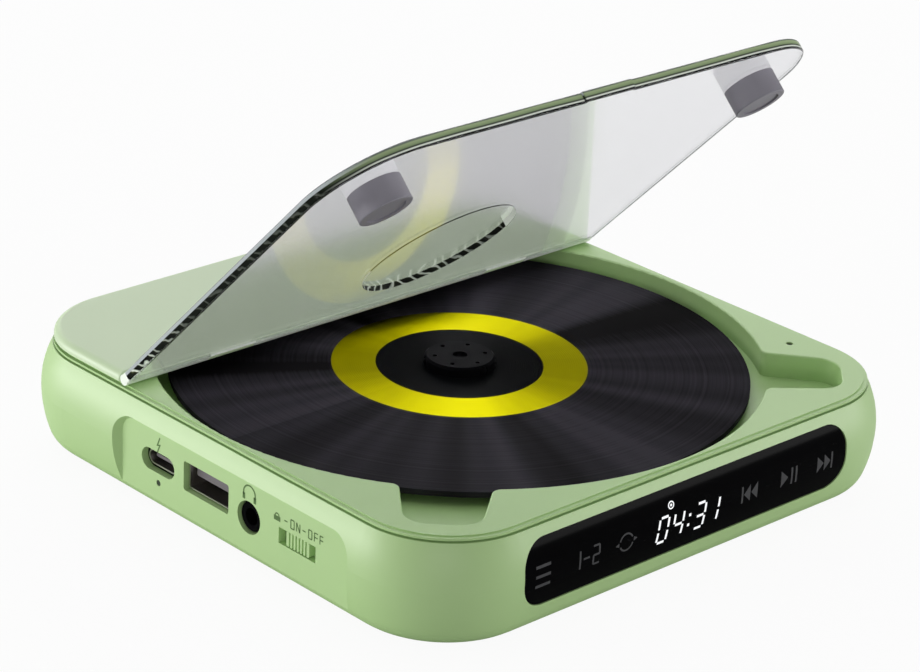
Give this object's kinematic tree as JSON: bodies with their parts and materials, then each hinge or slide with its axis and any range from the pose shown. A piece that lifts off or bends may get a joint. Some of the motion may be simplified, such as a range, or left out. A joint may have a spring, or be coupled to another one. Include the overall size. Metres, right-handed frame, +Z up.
{
  "type": "disc player",
  "caption": "Square disc player with bulged green case, open round well, clear hinged lid on magnetic posts, touch window and side ports.",
  "frame": {"origin": "on the disc's axis, on the surface that the feet stand on", "axes": "+X along the front away from the ports, +Y from the touch window towards the lid's hinge, +Z up out of the disc well"},
  "size_m": [0.1352, 0.1352, 0.0924],
  "materials": {
    "case_green": "satin pale green moulding",
    "deck_green": "satin pale green moulding, deck",
    "cover_green": "satin pale green moulding, rear cover",
    "clear_lid": "clear polished acrylic",
    "post_grey": "smooth grey plastic",
    "black_gloss": "black gloss window",
    "black_plastic": "black plastic",
    "disc_black": "black grooved disc with a yellow ring round its hub",
    "rubber_black": "black rubber",
    "rubber_grey": "dark grey rubber",
    "steel": "bright steel",
    "plated": "nickel plate",
    "circuit_green": "green circuit board",
    "lamp_white": "white lamp block",
    "led_clear": "light pipe",
    "cell_blue": "wrapped cell",
    "cone_paper": "pressed paper",
    "gear_white": "natural acetal",
    "lens_glass": "lens"
  },
  "bodies": {
    "case": {"bottom_shell": "case_green", "top_frame": "deck_green", "rear_cover": "cover_green", "rubber_feet": "rubber_grey", "case_screws": "steel", "hinge_pins": "steel", "latch_plates": "steel", "display_window": "black_gloss", "display_board": "circuit_green", "display_module": "lamp_white", "touch_springs": "plated", "main_board": "circuit_green", "usb_c_socket": "plated", "usb_c_tongue": "black_plastic", "usb_a_socket": "plated", "usb_a_tongue": "black_plastic", "headphone_jack": "black_plastic", "power_switch_body": "black_plastic", "charge_led": "led_clear", "lid_sensor": "black_plastic", "battery_pack": "cell_blue", "speaker_frames": "steel", "speaker_cones": "cone_paper", "mechanism_chassis": "black_plastic", "damper_grommets": "rubber_black", "mechanism_screws": "steel", "spindle_motor": "steel", "guide_rods": "steel", "feed_motor": "steel", "feed_gear_post": "steel", "inner_limit_switch": "black_plastic"},
    "lid": {"lid": "clear_lid", "lid_posts": "post_grey", "lid_magnets": "plated"},
    "spindle": {"turntable": "black_plastic", "turntable_pad": "rubber_black", "spindle_shaft": "steel", "disc": "disc_black"},
    "claw_a": {"disc_claw_a": "black_plastic"},
    "claw_b": {"disc_claw_b": "black_plastic"},
    "claw_c": {"disc_claw_c": "black_plastic"},
    "sled": {"pickup_sled": "black_plastic", "sled_rack": "gear_white"},
    "lens": {"lens_holder": "black_plastic", "objective_lens": "lens_glass"},
    "feed_gear": {"feed_gear": "gear_white"},
    "feed_pinion": {"feed_pinion": "gear_white"},
    "switch_knob": {"power_switch_knob": "case_green"}
  },
  "joints": [
    {"name": "lid_hinge", "type": "hinge", "parent": "case", "child": "lid", "pos_m": [0, 0.0284, 0.02525], "axis": [1, 0, 0], "range_deg": [-14.8, 45.2]},
    {"name": "disc_spin", "type": "hinge", "parent": "case", "child": "spindle", "pos_m": [0, 0, 0.0204], "axis": [0, 0, 1], "continuous": true},
    {"name": "sled_feed", "type": "slide", "parent": "case", "child": "sled", "axis": [1, 0, 0], "range_m": [0, 0.035]},
    {"name": "feed_gear_turn", "type": "hinge", "parent": "case", "child": "feed_gear", "pos_m": [0.0265, -0.0215, 0.014], "axis": [0, 0, 1], "range_deg": [-573, 0]},
    {"name": "feed_pinion_turn", "type": "hinge", "parent": "case", "child": "feed_pinion", "pos_m": [0.03949, -0.029, 0.014], "axis": [0, 0, 1], "range_deg": [0, 2292]},
    {"name": "lens_focus", "type": "slide", "parent": "sled", "child": "lens", "axis": [0, 0, 1], "range_m": [-0.0005, 0.0005], "stiffness_N_per_m": 60},
    {"name": "power_slide", "type": "slide", "parent": "case", "child": "switch_knob", "axis": [0, 1, 0], "range_m": [-0.0019, 0.0019]},
    {"name": "claw_a_press", "type": "slide", "parent": "spindle", "child": "claw_a", "axis": [0, -1, 0], "range_m": [-0.00035, 0], "stiffness_N_per_m": 300, "springref_m": 0.0002},
    {"name": "claw_b_press", "type": "slide", "parent": "spindle", "child": "claw_b", "axis": [0.866, 0.5, 0], "range_m": [-0.00035, 0], "stiffness_N_per_m": 300, "springref_m": 0.0002},
    {"name": "claw_c_press", "type": "slide", "parent": "spindle", "child": "claw_c", "axis": [-0.866, 0.5, 0], "range_m": [-0.00035, 0], "stiffness_N_per_m": 300, "springref_m": 0.0002}
  ],
  "couplings": [
    {"joint": "feed_gear_turn", "follows": "sled_feed", "rad_per_m": -285.71},
    {"joint": "feed_pinion_turn", "follows": "sled_feed", "rad_per_m": 1142.9}
  ]
}
